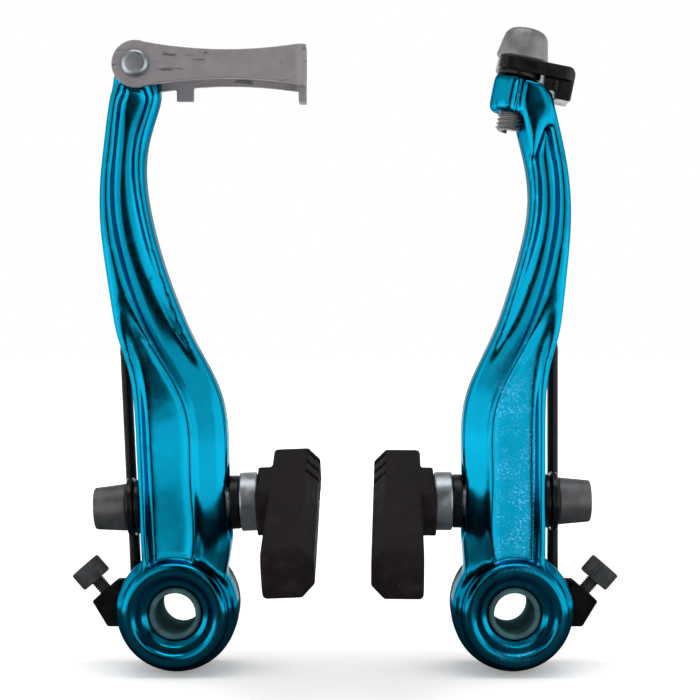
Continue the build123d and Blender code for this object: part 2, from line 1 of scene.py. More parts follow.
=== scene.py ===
"""Looks for a linear-pull brake: polished forgings, rubber pads, threaded hardware, stage and camera."""

from math import ceil, cos, pi, radians, sin

import bpy
from mathutils import Matrix, Vector


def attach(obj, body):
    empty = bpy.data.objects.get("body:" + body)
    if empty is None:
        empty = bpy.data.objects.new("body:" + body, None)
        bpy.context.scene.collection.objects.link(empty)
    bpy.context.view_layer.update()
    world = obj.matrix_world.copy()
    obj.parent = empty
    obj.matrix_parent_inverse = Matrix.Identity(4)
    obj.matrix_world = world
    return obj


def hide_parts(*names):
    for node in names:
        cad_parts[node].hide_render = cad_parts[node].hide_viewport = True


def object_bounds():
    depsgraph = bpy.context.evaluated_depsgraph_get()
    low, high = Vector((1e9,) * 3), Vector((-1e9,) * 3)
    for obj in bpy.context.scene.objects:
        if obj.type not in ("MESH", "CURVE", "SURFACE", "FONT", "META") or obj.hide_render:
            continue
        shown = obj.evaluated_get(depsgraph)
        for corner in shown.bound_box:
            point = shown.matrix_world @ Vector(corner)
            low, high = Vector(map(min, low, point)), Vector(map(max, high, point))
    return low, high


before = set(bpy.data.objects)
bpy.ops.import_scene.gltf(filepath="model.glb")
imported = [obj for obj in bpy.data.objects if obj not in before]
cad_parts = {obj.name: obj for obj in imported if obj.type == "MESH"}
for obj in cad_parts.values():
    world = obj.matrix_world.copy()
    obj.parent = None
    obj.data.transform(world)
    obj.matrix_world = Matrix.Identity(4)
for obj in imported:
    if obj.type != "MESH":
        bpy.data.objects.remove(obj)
cad_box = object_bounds()

bl_info = {
    "name": "Linear-pull brake",
    "version": (1, 0, 0),
    "blender": (4, 5, 0),
    "location": "3D View > Sidebar > Brake",
    "description": "Finishes the packed brake and sets it on a pale studio floor",
    "category": "Object",
}

SIDES = {"left": -1, "right": 1}
MM = 0.001
PIVOT = 33.1 * MM

# Right arm's pocket floor, where the blasted speckle with its painted glints fades in and is full: inner
# side, outer side, top and depth.
POCKET_INNER = (0.0288, 0.0302)
POCKET_OUTER = (0.0376, 0.0362)
POCKET_TOP = (0.054, 0.04)
POCKET_FRONT = (-0.0125, -0.0145)
# Colour of the painted glints speckled over the blasted pocket floor.
SPECKLE_GLINT = (0.11, 0.46, 0.86)


class BrakeFinish(bpy.types.PropertyGroup):
    """Colours of the brake's finishes."""

    anodised: bpy.props.FloatVectorProperty(
        name="Anodised", description="Dyed, polished aluminium of the arms",
        subtype="COLOR", size=3, default=(0.002, 0.275, 0.445))
    rubber: bpy.props.FloatVectorProperty(
        name="Rubber", description="Moulded pads",
        subtype="COLOR", size=3, default=(0.0115, 0.0088, 0.0092))
    plated: bpy.props.FloatVectorProperty(
        name="Plated steel", description="Cap nuts",
        subtype="COLOR", size=3, default=(0.125, 0.129, 0.134))
    zinc: bpy.props.FloatVectorProperty(
        name="Zinc", description="Link pin, pad posts and inner cup washers",
        subtype="COLOR", size=3, default=(0.4, 0.44, 0.47))
    link: bpy.props.FloatVectorProperty(
        name="Link steel", description="Tumbled strap of the cable link",
        subtype="COLOR", size=3, default=(0.262, 0.244, 0.256))
    bolt: bpy.props.FloatVectorProperty(
        name="Anchor bolt", description="Dull plating of the anchor bolt",
        subtype="COLOR", size=3, default=(0.255, 0.245, 0.25))
    screw: bpy.props.FloatVectorProperty(
        name="Screw steel", description="Dark tension screws",
        subtype="COLOR", size=3, default=(0.08, 0.082, 0.085))
    bush: bpy.props.FloatVectorProperty(
        name="Bush steel", description="Turned sleeves in the pivots",
        subtype="COLOR", size=3, default=(0.055, 0.125, 0.135))
    black_steel: bpy.props.FloatVectorProperty(
        name="Black steel", description="Clamp washer, thin washer and post washers",
        subtype="COLOR", size=3, default=(0.004, 0.0042, 0.0045))
    spring: bpy.props.FloatVectorProperty(
        name="Spring", description="Coated spring wire",
        subtype="COLOR", size=3, default=(0.0025, 0.0028, 0.003))
    nylon: bpy.props.FloatVectorProperty(
        name="Nylon", description="Moulded spring holders",
        subtype="COLOR", size=3, default=(0.0045, 0.0048, 0.0052))


class BrakeShape(bpy.types.PropertyGroup):
    """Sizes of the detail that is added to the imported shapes."""

    forging_detail: bpy.props.FloatProperty(
        name="Forging detail", description="Fine grid that the forgings are softened on",
        unit="LENGTH", default=0.16 * MM)
    forging_voxel: bpy.props.FloatProperty(
        name="Forging grid", description="Grid that the forgings are finished on",
        unit="LENGTH", default=0.33 * MM)
    pad_voxel: bpy.props.FloatProperty(
        name="Pad grid", description="Grid that the pads are rebuilt on",
        unit="LENGTH", default=0.26 * MM)
    sheet_voxel: bpy.props.FloatProperty(
        name="Sheet grid", description="Grid that stamped and small moulded pieces are rebuilt on",
        unit="LENGTH", default=0.18 * MM)
    forging_softening: bpy.props.IntProperty(
        name="Forging softening", description="Rounds of softening on the forgings' edges", default=110)
    polishing: bpy.props.IntProperty(
        name="Polishing", description="Rounds of smoothing on the front of the upper arms", default=80)
    pad_softening: bpy.props.IntProperty(
        name="Pad softening", description="Rounds of softening on the pads' edges", default=5)
    sheet_softening: bpy.props.IntProperty(
        name="Sheet softening", description="Rounds of softening on stamped edges", default=4)
    screw_pitch: bpy.props.FloatProperty(
        name="Screw pitch", description="Thread pitch of the tension screws",
        unit="LENGTH", default=0.5 * MM)
    bolt_pitch: bpy.props.FloatProperty(
        name="Bolt pitch", description="Thread pitch of the anchor bolt",
        unit="LENGTH", default=0.8 * MM)
    knurl_count: bpy.props.IntProperty(
        name="Knurls", description="Ridges round a tension screw's head", default=36)


class BrakeStage(bpy.types.PropertyGroup):
    """Camera, floor and lamps."""

    camera_distance: bpy.props.FloatProperty(
        name="Camera distance", description="From the mounting plane to the camera",
        unit="LENGTH", default=0.351)
    camera_side: bpy.props.FloatProperty(
        name="Camera side", description="Camera's place along X", unit="LENGTH", default=0.001)
    camera_height: bpy.props.FloatProperty(
        name="Camera height", description="Camera's height above the pivots",
        unit="LENGTH", default=0.0514)
    view_angle: bpy.props.FloatProperty(
        name="View angle", description="Width of the camera's view",
        subtype="ANGLE", default=radians(23.15))
    floor: bpy.props.FloatVectorProperty(
        name="Floor", description="Colour of the floor",
        subtype="COLOR", size=3, default=(0.9, 0.9, 0.9))
    ambient: bpy.props.FloatProperty(
        name="Ambient", description="Strength of the even light on matt surfaces", default=0.9)
    side_power: bpy.props.FloatProperty(
        name="Side lamps", description="Power of each lamp beside the brake",
        subtype="POWER", default=0.3)
    top_power: bpy.props.FloatProperty(
        name="Top lamp", description="Power of the lamp above the brake",
        subtype="POWER", default=1.6)


def only(piece):
    """Make a piece the only selected and active object."""
    bpy.ops.object.select_all(action="DESELECT")
    piece.select_set(True)
    bpy.context.view_layer.objects.active = piece


def modify(piece, kind, **settings):
    """Add a modifier to a piece and apply it."""
    modifier = piece.modifiers.new(kind.title(), kind)
    for key, value in settings.items():
        setattr(modifier, key, value)
    only(piece)
    bpy.ops.object.modifier_apply(modifier=modifier.name)


def share(value, limits):
    """How far a value is from the first limit to the second, from 0 to 1."""
    return min(max((value - limits[0]) / (limits[1] - limits[0]), 0.0), 1.0)


def node_copy(node, name):
    """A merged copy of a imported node, ready to be reshaped."""
    piece = bpy.data.objects.new(name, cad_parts[node].data.copy())
    bpy.context.scene.collection.objects.link(piece)
    only(piece)
    bpy.ops.mesh.customdata_custom_splitnormals_clear()
    bpy.ops.object.mode_set(mode="EDIT")
    bpy.ops.mesh.select_all(action="SELECT")
    bpy.ops.mesh.remove_doubles(threshold=0.001 * MM)
    bpy.ops.object.mode_set(mode="OBJECT")
    return piece


def soften(piece, grid, rounds):
    """Rebuild a piece on an even grid and soften its edges as tumbling or moulding leaves them."""
    modify(piece, "REMESH", mode="VOXEL", voxel_size=grid, use_smooth_shade=True)
    modify(piece, "SMOOTH", factor=0.5, iterations=rounds)
    bpy.ops.object.shade_smooth()


def softened(node, name, grid, rounds):
    """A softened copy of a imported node."""
    piece = node_copy(node, name)
    soften(piece, grid, rounds)
    return piece


def finish_piece(piece, body, finish, node):
    """Give a piece its finish, its body and the node that it stands for."""
    piece.data.materials.clear()
    piece.data.materials.append(bpy.data.materials[finish])
    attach(piece, body)
    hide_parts(node)


def paint_node(node, finish):
    """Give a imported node, which stays as it is, its finish."""
    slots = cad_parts[node].data.materials
    slots.clear()
    slots.append(bpy.data.materials[finish])


def drawn_line(name, points):
    """A line through points of the XZ plane, drawn from one vertex."""
    bpy.ops.object.select_all(action="DESELECT")
    bpy.ops.mesh.primitive_plane_add(size=MM)
    line = bpy.context.active_object
    line.name = name
    bpy.ops.object.mode_set(mode="EDIT")
    bpy.ops.mesh.select_all(action="SELECT")
    bpy.ops.mesh.merge(type="CENTER")
    bpy.ops.transform.translate(value=(points[0][0], 0, points[0][1]))
    for (x, z), (next_x, next_z) in zip(points, points[1:]):
        bpy.ops.mesh.extrude_region_move(
            TRANSFORM_OT_translate={"value": (next_x - x, 0, next_z - z)})
    bpy.ops.object.mode_set(mode="OBJECT")
    return line


def close_up(piece):
    """Merge a turned mesh, close its ends and point its faces outwards."""
    only(piece)
    bpy.ops.object.mode_set(mode="EDIT")
    bpy.ops.mesh.select_all(action="SELECT")
    bpy.ops.mesh.remove_doubles(threshold=0.002 * MM)
    bpy.ops.mesh.fill_holes(sides=0)
    bpy.ops.mesh.select_all(action="SELECT")
    bpy.ops.mesh.normals_make_consistent(inside=False)
    bpy.ops.object.mode_set(mode="OBJECT")


def turned(name, points, steps):
    """A closed piece turned about Z from a line of (radius, height) points."""
    piece = drawn_line(name, points)
    modify(piece, "SCREW", axis="Z", angle=2 * pi, steps=steps, render_steps=steps, use_merge_vertices=False)
    close_up(piece)
    return piece


def threaded_rod(name, radius, pitch, low, high, steps=28):
    """A closed rod along Z with a helical thread."""
    core = radius - 0.55 * pitch
    tooth = [
        (core, low), (core, low + 0.16 * pitch), (radius, low + 0.46 * pitch),
        (radius, low + 0.58 * pitch), (core, low + 0.88 * pitch), (core, low + pitch),
    ]
    rod = drawn_line(name, tooth)
    turns = ceil((high - low) / pitch) - 1
    modify(
        rod, "SCREW", axis="Z", angle=2 * pi, steps=steps, render_steps=steps,
        screw_offset=pitch, iterations=turns, use_merge_vertices=False)
    close_up(rod)
    return rod


def rounded_corner(centre, radius, start, end, steps=5):
    """Points on an arc in the XZ plane, from one angle to another in degrees."""
    angles = [radians(start + (end - start) * step / steps) for step in range(steps + 1)]
    return [(centre[0] + radius * cos(angle), centre[1] + radius * sin(angle)) for angle in angles]


def cut_socket(piece, across, bottom, top):
    """Cut a hexagon socket, open at the top, along Z."""
    bpy.ops.object.select_all(action="DESELECT")
    bpy.ops.mesh.primitive_cylinder_add(
        vertices=6, radius=across / 2 / cos(pi / 6), depth=top - bottom, location=(0, 0, (top + bottom) / 2))
    cutter = bpy.context.active_object
    modify(piece, "BOOLEAN", operation="DIFFERENCE", object=cutter, solver="EXACT")
    bpy.data.objects.remove(cutter)


def joined(pieces, name):
    """Join pieces into the first one."""
    bpy.ops.object.select_all(action="DESELECT")
    for piece in pieces:
        piece.select_set(True)
    bpy.context.view_layer.objects.active = pieces[0]
    bpy.ops.object.join()
    pieces[0].name = name
    return pieces[0]


def turned_to(along):
    """The turn from Z to another direction."""
    return Vector(along).to_track_quat("Z", "Y").to_matrix().to_4x4()


def set_along(piece, origin, along):
    """Turn a piece that was made along Z to another direction, move it there and apply both."""
    piece.matrix_world = Matrix.Translation(origin) @ turned_to(along)
    only(piece)
    bpy.ops.object.transform_apply(location=True, rotation=True, scale=True)
    bpy.ops.object.shade_smooth_by_angle(angle=radians(40))


def put(tree, kind, inputs=None, **settings):
    """Add a node to a tree. An input that is a socket is linked, any other is set."""
    node = tree.nodes.new(kind)
    for key, value in settings.items():
        setattr(node, key, value)
    for key, value in (inputs or {}).items():
        if isinstance(value, bpy.types.NodeSocket):
            tree.links.new(value, node.inputs[key])
        else:
            node.inputs[key].default_value = value
    return node


def math(tree, operation, first, second=0.0, clamp=False):
    """The result of one Math node."""
    node = put(tree, "ShaderNodeMath", {0: first, 1: second}, operation=operation, use_clamp=clamp)
    return node.outputs[0]


def spread(tree, value, low, high, to_low=0.0, to_high=1.0):
    """A value mapped from one range to another and held inside it."""
    node = put(
        tree, "ShaderNodeMapRange",
        {"Value": value, "From Min": low, "From Max": high, "To Min": to_low, "To Max": to_high},
        clamp=True, interpolation_type="SMOOTHSTEP")
    return node.outputs["Result"]


def blend(tree, factor, first, second):
    """Two colours mixed by a factor."""
    node = put(tree, "ShaderNodeMix", {"Factor": factor}, data_type="RGBA")
    for name, value in (("A", first), ("B", second)):
        socket = [s for s in node.inputs if s.name == name and s.type == "RGBA"][0]
        if isinstance(value, bpy.types.NodeSocket):
            tree.links.new(value, socket)
        else:
            socket.default_value = (*value[:3], 1.0)
    return [s for s in node.outputs if s.type == "RGBA"][0]


def new_group(name, inputs, outputs):
    """An empty shader node group with its sockets, and its input and output nodes."""
    tree = bpy.data.node_groups.new(name, "ShaderNodeTree")
    for label, default in inputs.items():
        socket = tree.interface.new_socket(label, in_out="INPUT", socket_type="NodeSocketFloat")
        socket.default_value = default
    for label in outputs:
        tree.interface.new_socket(label, in_out="OUTPUT", socket_type="NodeSocketFloat")
    return tree, tree.nodes.new("NodeGroupInput"), tree.nodes.new("NodeGroupOutput")


def grain_group():
    """Fine grain in three sizes, as a height and a mask."""
    tree, given, result = new_group("Grain", {"Scale": 2000.0, "Detail": 4.0}, ("Height", "Blotch"))
    place = put(tree, "ShaderNodeTexCoord").outputs["Object"]
    fine = put(tree, "ShaderNodeTexNoise", {
        "Vector": place, "Scale": given.outputs["Scale"], "Detail": given.outputs["Detail"]})
    coarse = put(tree, "ShaderNodeTexNoise", {
        "Vector": place, "Scale": math(tree, "MULTIPLY", given.outputs["Scale"], 0.08), "Detail": 3.0})
    tree.links.new(fine.outputs["Fac"], result.inputs["Height"])
    tree.links.new(coarse.outputs["Fac"], result.inputs["Blotch"])
    return tree


def edge_group():
    """Where edges stand out, broken up by noise: worn plating on steel, and a painted highlight on the edges
    of the forgings and moulded pieces.
    """
    tree, given, result = new_group("Worn Edges", {"Start": 0.52, "End": 0.62, "Break": 600.0}, ("Mask",))
    place = put(tree, "ShaderNodeTexCoord").outputs["Object"]
    edge = put(tree, "ShaderNodeNewGeometry").outputs["Pointiness"]
    noise = put(tree, "ShaderNodeTexNoise", {"Vector": place, "Scale": given.outputs["Break"], "Detail": 4.0})
    shift = math(tree, "MULTIPLY", math(tree, "SUBTRACT", noise.outputs["Fac"], 0.5), 0.06)
    shifted = math(tree, "ADD", edge, shift)
    mask = spread(tree, shifted, given.outputs["Start"], given.outputs["End"])
    tree.links.new(mask, result.inputs["Mask"])
    return tree


def scratch_group():
    """Short stray scratches and handling marks."""
    tree, given, result = new_group("Scratches", {"Scale": 90.0, "Amount": 0.5}, ("Mask",))
    place = put(tree, "ShaderNodeTexCoord").outputs["Object"]
    stretched = put(tree, "ShaderNodeMapping", {
        "Vector": place, "Rotation": (0.2, 0.9, 0.4), "Scale": (1.0, 1.0, 9.0)})
    lines = put(tree, "ShaderNodeTexNoise", {
        "Vector": stretched.outputs["Vector"], "Scale": given.outputs["Scale"],
        "Detail": 2.0, "Distortion": 0.6})
    marks = put(tree, "ShaderNodeTexNoise", {
        "Vector": place, "Scale": math(tree, "MULTIPLY", given.outputs["Scale"], 2.2), "Detail": 1.0})
    thin = spread(tree, lines.outputs["Fac"], 0.56, 0.62)
    here = spread(tree, marks.outputs["Fac"], 0.5, 0.58)
    mask = math(tree, "MULTIPLY", math(tree, "MULTIPLY", thin, here), given.outputs["Amount"])
    tree.links.new(mask, result.inputs["Mask"])
    return tree


def use(tree, group, **inputs):
    """Place a node group in a tree."""
    node = put(tree, "ShaderNodeGroup", node_tree=bpy.data.node_groups[group])
    for key, value in inputs.items():
        node.inputs[key].default_value = value
    return node


def new_material(name):
    """An empty material with its Principled node."""
    material = bpy.data.materials.new(name)
    material.use_nodes = True
    tree = material.node_tree
    return material, tree, tree.nodes["Principled BSDF"]


def bump(tree, shader, height, strength, distance):
    """Drive a shader's normal from a height."""
    node = put(tree, "ShaderNodeBump", {"Height": height, "Strength": strength, "Distance": distance})
    tree.links.new(node.outputs["Normal"], shader.inputs["Normal"])


def anodised_material(name, colour, blasted_with_glints):
    """Polished, dyed aluminium with a painted highlight on its edges. The one blasted in its pocket also has
    painted glints speckled over that floor.
    """
    material, tree, shader = new_material(name)
    shader.inputs["Metallic"].default_value = 1.0
    shader.inputs["Specular Tint"].default_value = (0.0, 0.28, 0.36, 1.0)
    grain = use(tree, "Grain", Scale=5200.0, Detail=3.0)
    deep = tuple(value * 0.93 for value in colour)
    # light is the brighter turquoise of the painted edge highlight laid on below.
    light = (colour[0] + 0.012, min(colour[1] * 1.2, 1.0), min(colour[2] * 1.22, 1.0))
    tint = blend(tree, spread(tree, grain.outputs["Blotch"], 0.35, 0.68), deep, colour)
    # Painted highlight along the edges.
    edge = use(tree, "Worn Edges", Start=0.54, End=0.68, Break=900.0)
    tint = blend(tree, math(tree, "MULTIPLY", edge.outputs["Mask"], 0.5), tint, light)
    place = put(tree, "ShaderNodeTexCoord").outputs["Object"]
    wave = put(tree, "ShaderNodeTexNoise", {"Vector": place, "Scale": 330.0, "Detail": 2.0})
    height = math(
        tree, "ADD", math(tree, "MULTIPLY", wave.outputs["Fac"], 0.3),
        math(tree, "MULTIPLY", grain.outputs["Height"], 0.05))
    roughness = spread(tree, grain.outputs["Blotch"], 0.3, 0.75, 0.16, 0.21)
    if blasted_with_glints:
        axes = put(tree, "ShaderNodeSeparateXYZ", {"Vector": place}).outputs
        inside = math(
            tree, "MULTIPLY", spread(tree, axes["X"], *POCKET_INNER), spread(tree, axes["X"], *POCKET_OUTER))
        inside = math(tree, "MULTIPLY", inside, spread(tree, axes["Z"], *POCKET_TOP))
        inside = math(tree, "MULTIPLY", inside, spread(tree, axes["Y"], *POCKET_FRONT))
        dots = put(tree, "ShaderNodeTexNoise", {
            "Vector": place, "Scale": 2300.0, "Detail": 3.0, "Roughness": 0.7}).outputs["Fac"]
        patch = put(tree, "ShaderNodeTexNoise", {
            "Vector": place, "Scale": 260.0, "Detail": 4.0}).outputs["Fac"]
        # Painted glints: bright spots scattered over the blasted pocket floor.
        glints = math(tree, "MULTIPLY", spread(tree, dots, 0.5, 0.66), spread(tree, patch, 0.36, 0.62))
        glints = math(tree, "MULTIPLY", glints, inside)
        tint = blend(tree, glints, tint, SPECKLE_GLINT)
        pits = math(tree, "MULTIPLY", math(tree, "MULTIPLY", dots, inside), 0.5)
        height = math(tree, "ADD", height, pits)
        roughness = math(tree, "ADD", roughness, math(tree, "MULTIPLY", inside, 0.1))
    tree.links.new(tint, shader.inputs["Base Color"])
    tree.links.new(roughness, shader.inputs["Roughness"])
    bump(tree, shader, height, 0.3, 0.12 * MM)
    return material


def metal_material(name, colour, metallic, roughness, wear=0.5, scratches=0.0, gloss=0.5, blotch=0.2):
    """Plated, coated or tumbled steel with blotches, bright worn edges and handling marks."""
    material, tree, shader = new_material(name)
    shader.inputs["Metallic"].default_value = metallic
    shader.inputs["Specular IOR Level"].default_value = gloss
    grain = use(tree, "Grain", Scale=4200.0, Detail=5.0)
    dark = tuple(value * (1 - blotch) for value in colour)
    light = tuple(min(value * (1 + blotch), 1.0) for value in colour)
    tint = blend(tree, spread(tree, grain.outputs["Blotch"], 0.35, 0.66), dark, light)
    edge = use(tree, "Worn Edges", Start=0.53, End=0.64, Break=1500.0)
    bare = tuple(min(value * 1.9 + 0.03, 1.0) for value in colour)
    tint = blend(tree, math(tree, "MULTIPLY", edge.outputs["Mask"], wear), tint, bare)
    if scratches:
        marks = use(tree, "Scratches", Scale=95.0, Amount=scratches)
        tint = blend(tree, marks.outputs["Mask"], tint, tuple(value * 0.25 for value in colour))
    tree.links.new(tint, shader.inputs["Base Color"])
    tree.links.new(
        spread(tree, grain.outputs["Blotch"], 0.3, 0.7, roughness - 0.07, roughness + 0.09),
        shader.inputs["Roughness"])
    bump(tree, shader, grain.outputs["Height"], 0.22, 0.05 * MM)
    return material


def moulded_material(name, colour, roughness, grain_scale, strength):
    """Rubber or nylon with a moulded grain, dusty patches and a painted highlight on its edges."""
    material, tree, shader = new_material(name)
    shader.inputs["Specular IOR Level"].default_value = 0.03
    grain = use(tree, "Grain", Scale=grain_scale, Detail=6.0)
    dusty = tuple(value * 1.5 + 0.002 for value in colour)
    tint = blend(tree, spread(tree, grain.outputs["Blotch"], 0.4, 0.72), colour, dusty)
    # Painted highlight: edges lightened well above the moulded colour.
    edge = use(tree, "Worn Edges", Start=0.54, End=0.7, Break=1200.0)
    edge_highlight = tuple(value * 2.6 + 0.01 for value in colour)
    tint = blend(tree, math(tree, "MULTIPLY", edge.outputs["Mask"], 0.9), tint, edge_highlight)
    tree.links.new(tint, shader.inputs["Base Color"])
    tree.links.new(
        spread(tree, grain.outputs["Blotch"], 0.3, 0.7, roughness - 0.08, roughness + 0.1),
        shader.inputs["Roughness"])
    bump(tree, shader, grain.outputs["Height"], strength, 0.08 * MM)
    return material


class BRAKE_OT_finishes(bpy.types.Operator):
    """Build the node groups and materials of all finishes"""

    bl_idname = "brake.finishes"
    bl_label = "Finishes"

    def execute(self, context):
        colours = context.scene.brake_finish
        grain_group()
        edge_group()
        scratch_group()
        anodised_material("anodised_left", tuple(colours.anodised), blasted_with_glints=False)
        anodised_material("anodised_right", tuple(colours.anodised), blasted_with_glints=True)
        metal_material("plated_steel", tuple(colours.plated), metallic=0.75, roughness=0.46)
        metal_material("zinc_plating", tuple(colours.zinc), metallic=0.9, roughness=0.34)
        metal_material(
            "tumbled_strap", tuple(colours.link), metallic=0.3, roughness=0.5,
            wear=0.2, scratches=0.75, gloss=0.3, blotch=0.05)
        metal_material(
            "screw_steel", tuple(colours.screw), metallic=0.5, roughness=0.42, wear=0.5, gloss=0.3)
        metal_material("dull_bolt", tuple(colours.bolt), metallic=0.7, roughness=0.5, wear=0.3)
        metal_material(
            "turned_bush", tuple(colours.bush), metallic=0.0, roughness=0.6, wear=0.1, gloss=0.0)
        metal_material(
            "blacked_steel", tuple(colours.black_steel), metallic=0.1, roughness=0.26, wear=0.35, gloss=0.3)
        metal_material(
            "spring_coating", tuple(colours.spring), metallic=0.0, roughness=0.4, wear=0.2, gloss=0.2)
        moulded_material(
            "moulded_rubber", tuple(colours.rubber), roughness=0.6, grain_scale=3600.0, strength=0.3)
        moulded_material(
            "holder_nylon", tuple(colours.nylon), roughness=0.48, grain_scale=5200.0, strength=0.18)
        return {"FINISHED"}


class BRAKE_OT_arms(bpy.types.Operator):
    """Rebuild both forgings with softened, polished edges"""

    bl_idname = "brake.arms"
    bl_label = "Arms"

    left_lean = radians(2.7)
    pin = (2.4 * MM, 107.0 * MM)
    ear_radius = 4.2 * MM
    neck_back = 11.3 * MM
    neck_front = 17.2 * MM
    crest_front = 18.9 * MM
    neck_low = 100.6 * MM
    neck_top = 101.9 * MM
    neck_sides = (-1.5 * MM, 7.6 * MM)
    crest_width = 1.7 * MM
    crest_rise = 4.2 * MM
    polish_low = (52.0 * MM, 62.0 * MM)
    polish_high = (98.0 * MM, 92.0 * MM)
    polish_facing = (0.0, 0.95)
    evening = 8

    def polish(self, arm, rounds):
        """Smooth the front of the upper arm between its edges, then even out the whole arm."""
        front = arm.vertex_groups.new(name="front")
        for vertex in arm.data.vertices:
            weight = share(-vertex.normal.y, self.polish_facing)
            weight *= share(vertex.co.z, self.polish_low) * share(vertex.co.z, self.polish_high)
            if weight > 0:
                front.add([vertex.index], weight, "REPLACE")
        modify(arm, "SMOOTH", factor=0.5, iterations=rounds, vertex_group=front.name)
        arm.vertex_groups.clear()
        modify(arm, "SMOOTH", factor=0.5, iterations=self.evening)

    def box(self, low, high):
        """A box between two corners."""
        bpy.ops.object.select_all(action="DESELECT")
        middle = (Vector(low) + Vector(high)) / 2
        bpy.ops.mesh.primitive_cube_add(size=1, location=middle)
        box = bpy.context.active_object
        box.scale = Vector(high) - Vector(low)
        bpy.ops.object.transform_apply(location=True, rotation=True, scale=True)
        return box

    def hull(self, pieces):
        """One convex piece round several."""
        piece = joined(pieces, "hull")
        only(piece)
        bpy.ops.object.mode_set(mode="EDIT")
        bpy.ops.mesh.select_all(action="SELECT")
        bpy.ops.mesh.convex_hull()
        bpy.ops.object.mode_set(mode="OBJECT")
        return piece

    def neck(self):
        """The top of the left forging, where its crests run up to the link's ear."""
        inner, outer = self.neck_sides
        bpy.ops.object.select_all(action="DESELECT")
        bpy.ops.mesh.primitive_cylinder_add(
            vertices=48, radius=self.ear_radius, depth=self.neck_front - self.neck_back,
            location=(self.pin[0], -(self.neck_front + self.neck_back) / 2, self.pin[1]),
            rotation=(pi / 2, 0, 0))
        ear = bpy.context.active_object
        bpy.ops.object.transform_apply(location=True, rotation=True, scale=True)
        shoulder = self.box((inner, -self.neck_front, self.neck_low), (outer, -self.neck_back, self.neck_top))
        parts = [self.hull([ear, shoulder])]
        for side, lift in ((inner, 1), (outer - self.crest_width, -1)):
            low = self.box(
                (side, -self.crest_front, self.neck_low),
                (side + self.crest_width, -self.neck_back, self.neck_top))
            shift = lift * self.crest_width / 2
            high = self.box(
                (side + shift, -self.crest_front, self.neck_top),
                (side + shift + self.crest_width, -self.neck_back, self.neck_top + self.crest_rise))
            parts.append(self.hull([low, high]))
        neck = joined(parts, "neck")
        lean = Matrix.Rotation(-self.left_lean, 4, "Y")
        neck.matrix_world = Matrix.Translation((-PIVOT, 0, 0)) @ lean @ Matrix.Diagonal((-1, 1, 1, 1))
        only(neck)
        bpy.ops.object.transform_apply(location=True, rotation=True, scale=True)
        bpy.ops.object.mode_set(mode="EDIT")
        bpy.ops.mesh.select_all(action="SELECT")
        bpy.ops.mesh.normals_make_consistent(inside=False)
        bpy.ops.object.mode_set(mode="OBJECT")
        return neck

    def execute(self, context):
        shape = context.scene.brake_shape
        for side in SIDES:
            arm = node_copy(f"{side}_arm", f"{side}_arm_polished")
            if side == "left":
                arm = joined([arm, self.neck()], arm.name)
            soften(arm, shape.forging_detail, shape.forging_softening)
            soften(arm, shape.forging_voxel, shape.sheet_softening)
            self.polish(arm, shape.polishing)
            finish_piece(arm, f"{side}_arm_body", f"anodised_{side}", f"{side}_arm")
        return {"FINISHED"}


class BRAKE_OT_pads(bpy.types.Operator):
    """Rebuild both pads with moulded edges"""

    bl_idname = "brake.pads"
    bl_label = "Pads"

    def execute(self, context):
        shape = context.scene.brake_shape
        for side in SIDES:
            pad = softened(f"{side}_brake_pad", f"{side}_pad_moulded", shape.pad_voxel, shape.pad_softening)
            finish_piece(pad, f"{side}_arm_body", "moulded_rubber", f"{side}_brake_pad")
        return {"FINISHED"}


class BRAKE_OT_post_hardware(bpy.types.Operator):
    """Finish the posts, washers and cap nuts"""

    bl_idname = "brake.post_hardware"
    bl_label = "Post hardware"

    def execute(self, context):
        finishes = {
            "inner_convex_washer": "blacked_steel",
            "inner_cup_washer": "zinc_plating",
            "outer_convex_washer": "blacked_steel",
            "outer_cup_washer": "blacked_steel",
            "cap_nut": "plated_steel",
        }
        for side in SIDES:
            for name, finish in finishes.items():
                paint_node(f"{side}_{name}", finish)
            paint_node(f"{side}_pad_post", "zinc_plating")
        return {"FINISHED"}


